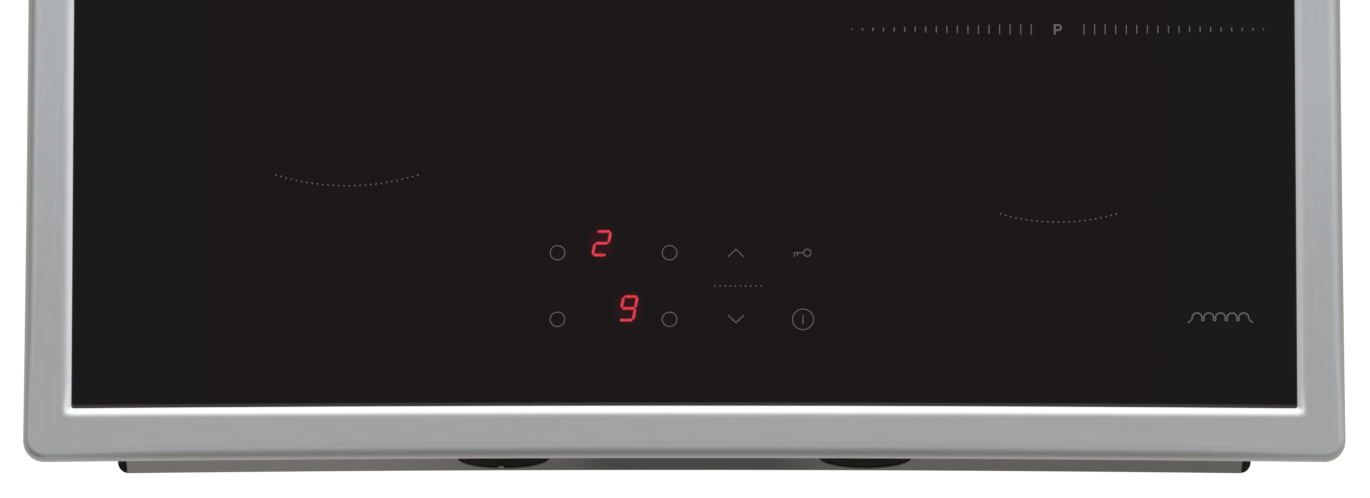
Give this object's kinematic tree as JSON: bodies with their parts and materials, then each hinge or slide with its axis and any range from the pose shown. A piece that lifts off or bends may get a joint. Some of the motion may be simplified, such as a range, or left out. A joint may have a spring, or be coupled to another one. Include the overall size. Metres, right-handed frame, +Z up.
{
  "type": "electric induction cooktop",
  "caption": "Built-in framed induction cooktop: black glass with printed zones and touch controls, satin metal surround, shallow vented tray below.",
  "frame": {"origin": "centre of the tray's underside, in the middle of the whole part's box", "axes": "+Z up out of the glass, +X to the user's right along the front edge, the front edge faces -Y"},
  "size_m": [0.583, 0.513, 0.057],
  "materials": {
    "black_glass": "polished glass-ceramic with printed grey markings",
    "satin_steel": "fine satin brush",
    "galvanised_sheet": "dull zinc-grey sheet",
    "black_plastic": "moulded, fine grain",
    "grey_plastic": "moulded",
    "white_plastic": "moulded ceramic-like",
    "silicone": "soft adhesive bead",
    "seal_foam": "closed-cell foam strip",
    "spring_steel": "bright spring steel",
    "circuit_board": "solder-masked board",
    "aluminium_sheet": "mill finish",
    "component_black": "moulded component body",
    "capacitor_blue": "moulded component body",
    "copper_wire": "enamelled winding wire",
    "screen_print": "fired ceramic ink on the glass",
    "lit_display": "lit red seven-segment bars"
  },
  "bodies": {
    "hob": {"bridge_rectifier_left": "component_black", "bridge_rectifier_right": "component_black", "cable_gland": "black_plastic", "capacitor_left_front": "capacitor_blue", "capacitor_left_rear": "capacitor_blue", "capacitor_right_front": "capacitor_blue", "capacitor_right_rear": "capacitor_blue", "coil_former_front_left": "black_plastic", "coil_former_front_right": "black_plastic", "coil_former_rear_left": "black_plastic", "coil_former_rear_right": "black_plastic", "coil_plate": "aluminium_sheet", "coil_winding_front_left": "copper_wire", "coil_winding_front_right": "copper_wire", "coil_winding_rear_left": "copper_wire", "coil_winding_rear_right": "copper_wire", "control_board": "circuit_board", "control_cable": "grey_plastic", "control_holder": "grey_plastic", "display_front_left": "component_black", "display_front_right": "component_black", "display_rear_left": "component_black", "display_rear_right": "component_black", "fan_housing_left": "black_plastic", "fan_housing_right": "black_plastic", "fan_motor_left": "copper_wire", "fan_motor_right": "copper_wire", "filter_choke_left": "copper_wire", "filter_choke_right": "copper_wire", "front_plate": "galvanised_sheet", "glass_bond": "silicone", "glass_top": "black_glass", "heat_sink_left": "aluminium_sheet", "heat_sink_right": "aluminium_sheet", "power_board_left": "circuit_board", "power_board_right": "circuit_board", "power_transistor_left_front": "component_black", "power_transistor_left_rear": "component_black", "power_transistor_right_front": "component_black", "power_transistor_right_rear": "component_black", "side_rail_left": "galvanised_sheet", "side_rail_right": "galvanised_sheet", "surround_frame": "satin_steel", "terminal_block": "white_plastic", "terminal_cover": "black_plastic", "terminal_cover_screw_1": "spring_steel", "terminal_cover_screw_2": "spring_steel", "tray_base": "black_plastic", "worktop_seal": "seal_foam", "zone_sensor_front_left": "white_plastic", "zone_sensor_front_right": "white_plastic", "zone_sensor_rear_left": "white_plastic", "zone_sensor_rear_right": "white_plastic"},
    "fan_rotor_left": {"fan_rotor_left": "grey_plastic"},
    "fan_rotor_right": {"fan_rotor_right": "grey_plastic"},
    "clip_left_front": {"spring_clip_left_front": "spring_steel"},
    "clip_left_rear": {"spring_clip_left_rear": "spring_steel"},
    "clip_right_front": {"spring_clip_right_front": "spring_steel"},
    "clip_right_rear": {"spring_clip_right_rear": "spring_steel"}
  },
  "joints": [
    {"name": "fan_left_spin", "type": "hinge", "parent": "hob", "child": "fan_rotor_left", "pos_m": [-0.08, 0.165, 0.018], "axis": [0, 0, 1], "continuous": true},
    {"name": "fan_right_spin", "type": "hinge", "parent": "hob", "child": "fan_rotor_right", "pos_m": [0.08, 0.165, 0.018], "axis": [0, 0, 1], "continuous": true},
    {"name": "clip_left_front_flex", "type": "hinge", "parent": "hob", "child": "clip_left_front", "pos_m": [-0.2548, -0.155, 0.013], "axis": [0, 1, 0], "range_deg": [0, 8], "stiffness_Nm_per_rad": 2},
    {"name": "clip_left_rear_flex", "type": "hinge", "parent": "hob", "child": "clip_left_rear", "pos_m": [-0.2548, 0.145, 0.013], "axis": [0, 1, 0], "range_deg": [0, 8], "stiffness_Nm_per_rad": 2},
    {"name": "clip_right_front_flex", "type": "hinge", "parent": "hob", "child": "clip_right_front", "pos_m": [0.2548, -0.155, 0.013], "axis": [0, -1, 0], "range_deg": [0, 8], "stiffness_Nm_per_rad": 2},
    {"name": "clip_right_rear_flex", "type": "hinge", "parent": "hob", "child": "clip_right_rear", "pos_m": [0.2548, 0.145, 0.013], "axis": [0, -1, 0], "range_deg": [0, 8], "stiffness_Nm_per_rad": 2}
  ]
}
